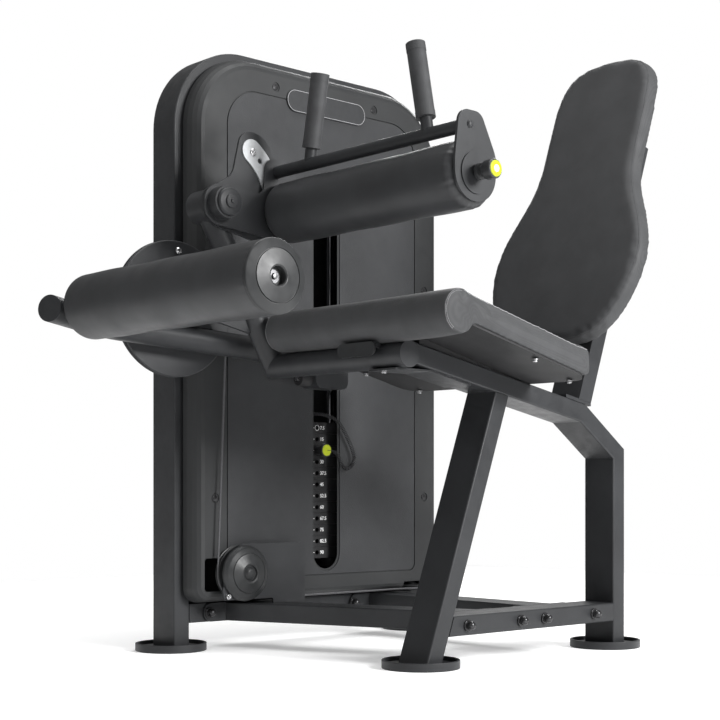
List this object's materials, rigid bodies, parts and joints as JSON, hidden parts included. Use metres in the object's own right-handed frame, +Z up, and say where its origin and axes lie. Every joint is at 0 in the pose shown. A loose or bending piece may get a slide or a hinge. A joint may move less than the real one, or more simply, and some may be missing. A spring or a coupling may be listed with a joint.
{
  "type": "leg extension machine",
  "caption": "Seated leg machine with weight tower, cam and cable, swing arm with ankle roller, thigh hold-down with hand grips, sloping seat and hourglass backrest.",
  "frame": {"origin": "on the floor under the centre of the seat side's front foot", "axes": "+X to the rear (the user faces -X), +Y towards the weight tower, +Z up"},
  "size_m": [1.4808, 1.0428, 1.4876],
  "materials": {
    "frame_paint": "matte charcoal powder coat with a fine grain",
    "shroud_shell": "dark grey moulded shell with a fine texture",
    "panel_face": "darker inset panel with a fine texture",
    "badge_face": "blank satin grey badge",
    "upholstery": "charcoal vinyl with a fine weave",
    "roller_vinyl": "smooth charcoal vinyl",
    "cap_plastic": "matte black plastic",
    "bright_steel": "bright steel",
    "rod_chrome": "polished",
    "plate_iron": "black painted weight plate",
    "index_white": "light silver",
    "rubber_black": "matte",
    "lime_plastic": "lime yellow",
    "dark_steel": "black oxide",
    "cable_steel": "coated steel cable",
    "cord_black": "curly black cord",
    "board_black": "black board"
  },
  "bodies": {
    "frame": {"feet": "frame_paint", "front_leg": "frame_paint", "rear_leg": "frame_paint", "seat_beam": "frame_paint", "near_rail": "frame_paint", "base_tubes": "frame_paint", "tower_frame": "frame_paint", "frame_bolts": "dark_steel", "small_bolts": "bright_steel", "shroud": "shroud_shell", "shroud_panel": "panel_face", "badge": "badge_face", "shroud_screws": "dark_steel", "shroud_brackets": "frame_paint", "rear_cover": "shroud_shell", "guide_rods": "rod_chrome", "weights_parked": "plate_iron", "stack_buffers": "rubber_black", "cable": "cable_steel", "cable_drop": "cable_steel", "pulley_brackets": "frame_paint", "pulley_cap": "cap_plastic", "cross_tube": "frame_paint", "thigh_post": "frame_paint", "hub_housing": "frame_paint", "index_plate": "index_white", "knee_housings": "frame_paint", "seat_pad": "upholstery", "seat_board": "board_black"},
    "stack": {"weights_lifted": "plate_iron", "head_plate": "plate_iron", "lanyard": "cord_black"},
    "pin": {"selector_pin": "cap_plastic", "pin_face": "lime_plastic"},
    "lower_wheel": {"lower_pulley": "cap_plastic"},
    "turn_wheel": {"turn_pulley": "cap_plastic"},
    "top_wheel_rear": {"top_pulley_rear": "cap_plastic"},
    "top_wheel_front": {"top_pulley_front": "cap_plastic"},
    "rear_wheel": {"rear_pulley": "cap_plastic"},
    "arm": {"arm_tube": "frame_paint", "arm_hub": "frame_paint", "pivot_shaft": "bright_steel", "cam_disc": "frame_paint", "arm_bolts": "bright_steel", "counterweight": "frame_paint", "bumper": "rubber_black", "ankle_shaft": "bright_steel"},
    "ankle": {"ankle_roller": "roller_vinyl", "ankle_cap": "cap_plastic"},
    "thigh": {"thigh_side_plate": "frame_paint", "thigh_end_plate": "frame_paint", "thigh_shaft": "bright_steel", "thigh_pad": "roller_vinyl", "handle_bar": "frame_paint", "hand_grips": "rubber_black"},
    "knob": {"release_knob": "cap_plastic", "knob_face": "lime_plastic"},
    "back": {"back_pad": "upholstery", "back_upright": "frame_paint"},
    "lever": {"seat_lever": "cap_plastic"}
  },
  "joints": [
    {"name": "arm_pivot", "type": "hinge", "parent": "frame", "child": "arm", "pos_m": [-0.2735, 0.487, 0.809], "axis": [0, -1, 0], "range_deg": [0, 100]},
    {"name": "stack_lift", "type": "slide", "parent": "frame", "child": "stack", "axis": [0, 0, 1], "range_m": [0, 0.28], "deforming": ["cable_drop"]},
    {"name": "pin_pull", "type": "slide", "parent": "stack", "child": "pin", "axis": [0, -1, 0], "range_m": [0, 0.04]},
    {"name": "lower_pulley_spin", "type": "hinge", "parent": "frame", "child": "lower_wheel", "pos_m": [-0.08, 0.542, 0.1875], "axis": [0, 1, 0], "range_deg": [-5, 335]},
    {"name": "turn_pulley_spin", "type": "hinge", "parent": "frame", "child": "turn_wheel", "pos_m": [0.466, 0.64, 0.1715], "axis": [0, -1, 0], "range_deg": [-5, 335]},
    {"name": "top_rear_pulley_spin", "type": "hinge", "parent": "frame", "child": "top_wheel_rear", "pos_m": [0.37, 0.64, 1.34], "axis": [0, 1, 0], "range_deg": [-5, 335]},
    {"name": "top_front_pulley_spin", "type": "hinge", "parent": "frame", "child": "top_wheel_front", "pos_m": [0.26, 0.64, 1.34], "axis": [0, 1, 0], "range_deg": [-5, 335]},
    {"name": "rear_pulley_spin", "type": "hinge", "parent": "frame", "child": "rear_wheel", "pos_m": [0.545, 0.591, 0.1235], "axis": [0, 0, -1], "range_deg": [-5, 335]},
    {"name": "ankle_spin", "type": "hinge", "parent": "arm", "child": "ankle", "pos_m": [-0.612, 0.066, 0.768], "axis": [0, 1, 0], "continuous": true},
    {"name": "thigh_swing", "type": "hinge", "parent": "frame", "child": "thigh", "pos_m": [-0.265, 0.4, 1.031], "axis": [0, -1, 0], "range_deg": [0, 50]},
    {"name": "knob_pull", "type": "slide", "parent": "thigh", "child": "knob", "axis": [0, -1, 0], "range_m": [0, 0.012], "stiffness_N_per_m": 900},
    {"name": "back_slide", "type": "slide", "parent": "frame", "child": "back", "axis": [-0.9816, 0, 0.1908], "range_m": [0, 0.08]},
    {"name": "lever_tilt", "type": "hinge", "parent": "frame", "child": "lever", "pos_m": [-0.127, 0.067, 0.7], "axis": [0, 1, 0], "range_deg": [0, 25], "stiffness_Nm_per_rad": 0.6}
  ],
  "couplings": [
    {"joint": "stack_lift", "follows": "arm_pivot", "m_per_rad": 0.1555},
    {"joint": "lower_pulley_spin", "follows": "arm_pivot", "ratio": 2.4297},
    {"joint": "turn_pulley_spin", "follows": "arm_pivot", "ratio": 3.2396},
    {"joint": "top_rear_pulley_spin", "follows": "arm_pivot", "ratio": 3.2396},
    {"joint": "top_front_pulley_spin", "follows": "arm_pivot", "ratio": 3.2396},
    {"joint": "rear_pulley_spin", "follows": "arm_pivot", "ratio": 3.1735}
  ]
}
